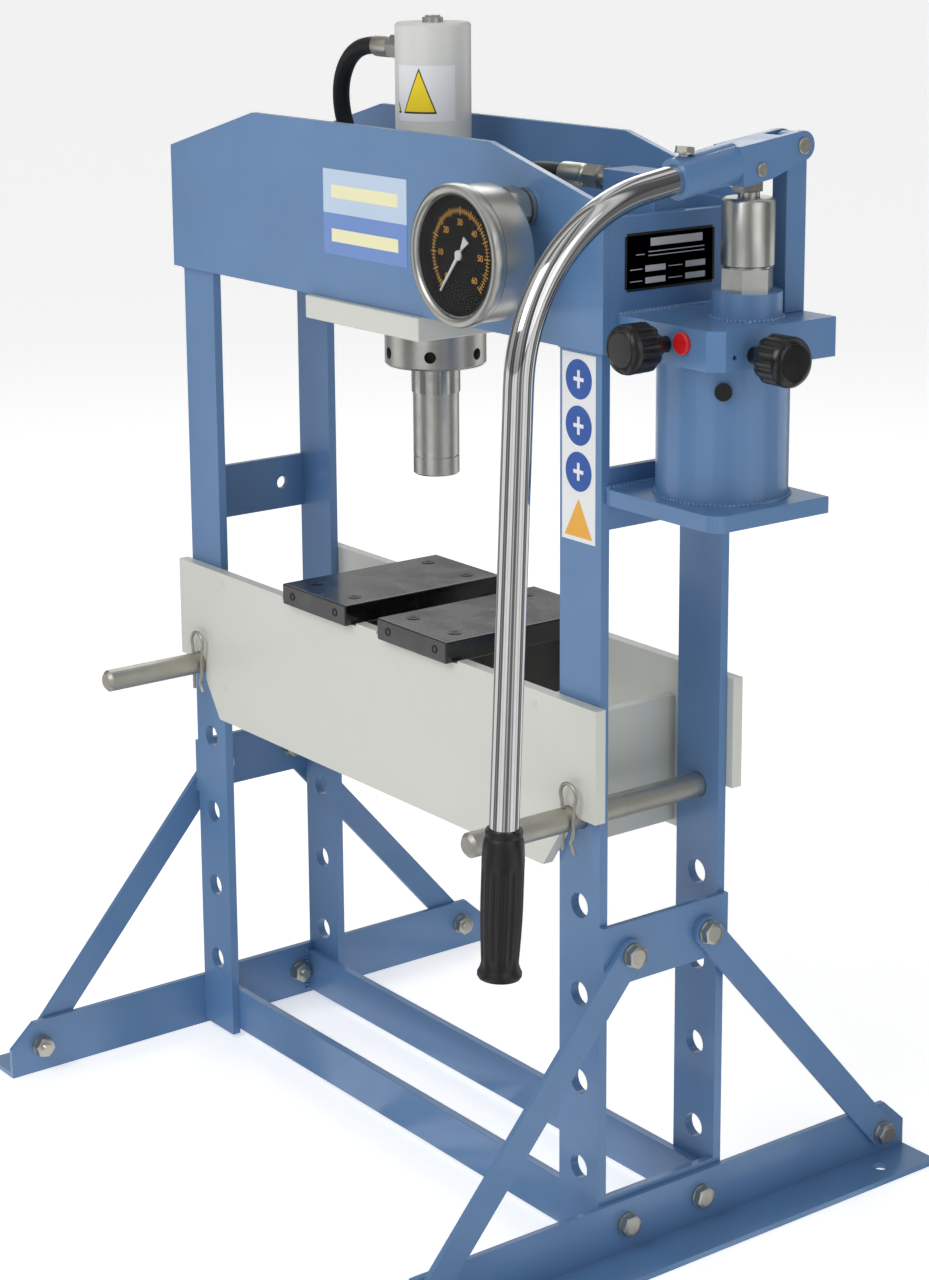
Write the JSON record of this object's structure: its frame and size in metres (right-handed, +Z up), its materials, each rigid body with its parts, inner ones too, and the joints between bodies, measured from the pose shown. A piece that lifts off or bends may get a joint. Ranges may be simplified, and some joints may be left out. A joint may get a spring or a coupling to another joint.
{
  "type": "hydraulic shop press",
  "caption": "Benchtop hydraulic shop press: blue H-frame, pinned grey bed with press blocks, ram, lever pump with oil tank and pressure gauge.",
  "frame": {"origin": "on the floor, at the centre of the four anchor holes", "axes": "+X right seen from the front, towards the pump; +Y to the back; +Z up"},
  "size_m": [0.806, 0.556, 0.985],
  "materials": {
    "frame_paint": "blue gloss paint",
    "bed_paint": "light grey gloss paint",
    "cylinder_paint": "light grey gloss paint",
    "block_paint": "black gloss paint",
    "zinc": "bright zinc plating",
    "ring_steel": "turned steel",
    "polished_steel": "polished",
    "black_steel": "blackened steel",
    "pump_steel": "nickel plated",
    "hose_rubber": "matt",
    "grip_rubber": "matt",
    "knob_plastic": "matt",
    "gauge_steel": "brushed stainless steel",
    "dial_face": "printed scale",
    "pointer_paint": "matt",
    "glass": "clear",
    "red_plastic": "gloss",
    "seal_rubber": "matt"
  },
  "bodies": {
    "frame": {"beam_plate_back": "frame_paint", "beam_plate_front": "frame_paint", "brace_back_left": "frame_paint", "brace_back_right": "frame_paint", "brace_front_left": "frame_paint", "brace_front_right": "frame_paint", "brace_plates": "frame_paint", "crossbar_back": "frame_paint", "crossbar_front": "frame_paint", "cylinder": "cylinder_paint", "drain_plug": "knob_plastic", "filler_cap": "zinc", "foot_left": "frame_paint", "foot_right": "frame_paint", "frame_fasteners": "zinc", "gauge_case": "gauge_steel", "gauge_dial": "dial_face", "gauge_lens": "glass", "gauge_line": "zinc", "hose": "hose_rubber", "hose_ends": "zinc", "lever_post": "frame_paint", "lock_ring": "ring_steel", "oil_reservoir": "frame_paint", "pump_barrel": "pump_steel", "pump_base": "frame_paint", "pump_block": "frame_paint", "pump_bracket": "frame_paint", "ram_gland": "ring_steel", "ram_mount_plate": "bed_paint", "upright_back_left": "frame_paint", "upright_back_right": "frame_paint", "upright_front_left": "frame_paint", "upright_front_right": "frame_paint", "upright_spacers": "frame_paint", "vent_plug": "red_plastic"},
    "ram_body": {"ram": "polished_steel", "piston": "ring_steel", "piston_seal": "seal_rubber", "ram_nose": "ring_steel", "return_spring": "black_steel"},
    "pointer": {"gauge_pointer": "pointer_paint"},
    "release_valve": {"release_knob": "knob_plastic"},
    "shutoff_valve": {"valve_knob": "knob_plastic"},
    "lever": {"lever_head": "frame_paint", "lever_tube": "polished_steel", "lever_grip": "grip_rubber", "lever_set_bolt": "zinc", "plunger_pin": "zinc", "lever_pivot_pin": "zinc"},
    "plunger": {"pump_plunger": "polished_steel"},
    "bed": {"bed_plate_front": "bed_paint", "bed_plate_back": "bed_paint", "bed_cross_plates": "bed_paint"},
    "block_left": {"press_block_left": "block_paint"},
    "block_right": {"press_block_right": "block_paint"},
    "pin_left": {"support_pin_left": "polished_steel"},
    "pin_right": {"support_pin_right": "polished_steel"},
    "clip_left": {"pin_clip_left": "zinc"},
    "clip_right": {"pin_clip_right": "zinc"}
  },
  "joints": [
    {"name": "ram_stroke", "type": "slide", "parent": "frame", "child": "ram_body", "axis": [0, 0, -1], "range_m": [0, 0.105], "stiffness_N_per_m": 500, "springref_m": -0.1, "deforming": ["return_spring"]},
    {"name": "pointer_turn", "type": "hinge", "parent": "frame", "child": "pointer", "pos_m": [0.211, -0.133, 0.818], "axis": [0, 1, 0], "range_deg": [0, 270], "stiffness_Nm_per_rad": 0.0005, "springref_deg": -11.46},
    {"name": "release_turn", "type": "hinge", "parent": "frame", "child": "release_valve", "pos_m": [0.362, -0.084, 0.762], "axis": [0, 1, 0], "range_deg": [0, 270]},
    {"name": "shutoff_turn", "type": "hinge", "parent": "frame", "child": "shutoff_valve", "pos_m": [0.443, -0.02, 0.757], "axis": [1, 0, 0], "range_deg": [0, 270]},
    {"name": "lever_pump", "type": "hinge", "parent": "frame", "child": "lever", "pos_m": [0.375, 0.052, 0.902], "axis": [-1, 0, 0], "range_deg": [0, 40]},
    {"name": "plunger_stroke", "type": "slide", "parent": "frame", "child": "plunger", "axis": [0, 0, 1], "range_m": [0, 0.0305]},
    {"name": "bed_height", "type": "slide", "parent": "frame", "child": "bed", "axis": [0, 0, -1], "range_m": [-0.075, 0]},
    {"name": "block_left_lift", "type": "slide", "parent": "bed", "child": "block_left", "axis": [0, 0, -1], "range_m": [-0.03, 0]},
    {"name": "block_right_lift", "type": "slide", "parent": "bed", "child": "block_right", "axis": [0, 0, -1], "range_m": [-0.03, 0]},
    {"name": "pin_left_pull", "type": "slide", "parent": "frame", "child": "pin_left", "axis": [0, -1, 0], "range_m": [0, 0.16]},
    {"name": "pin_right_pull", "type": "slide", "parent": "frame", "child": "pin_right", "axis": [0, -1, 0], "range_m": [0, 0.16]},
    {"name": "clip_left_pull", "type": "slide", "parent": "pin_left", "child": "clip_left", "axis": [0, 0, 1], "range_m": [0, 0.04]},
    {"name": "clip_right_pull", "type": "slide", "parent": "pin_right", "child": "clip_right", "axis": [0, 0, 1], "range_m": [0, 0.04]}
  ],
  "couplings": [
    {"joint": "plunger_stroke", "follows": "lever_pump", "m_per_rad": 0.0434}
  ]
}
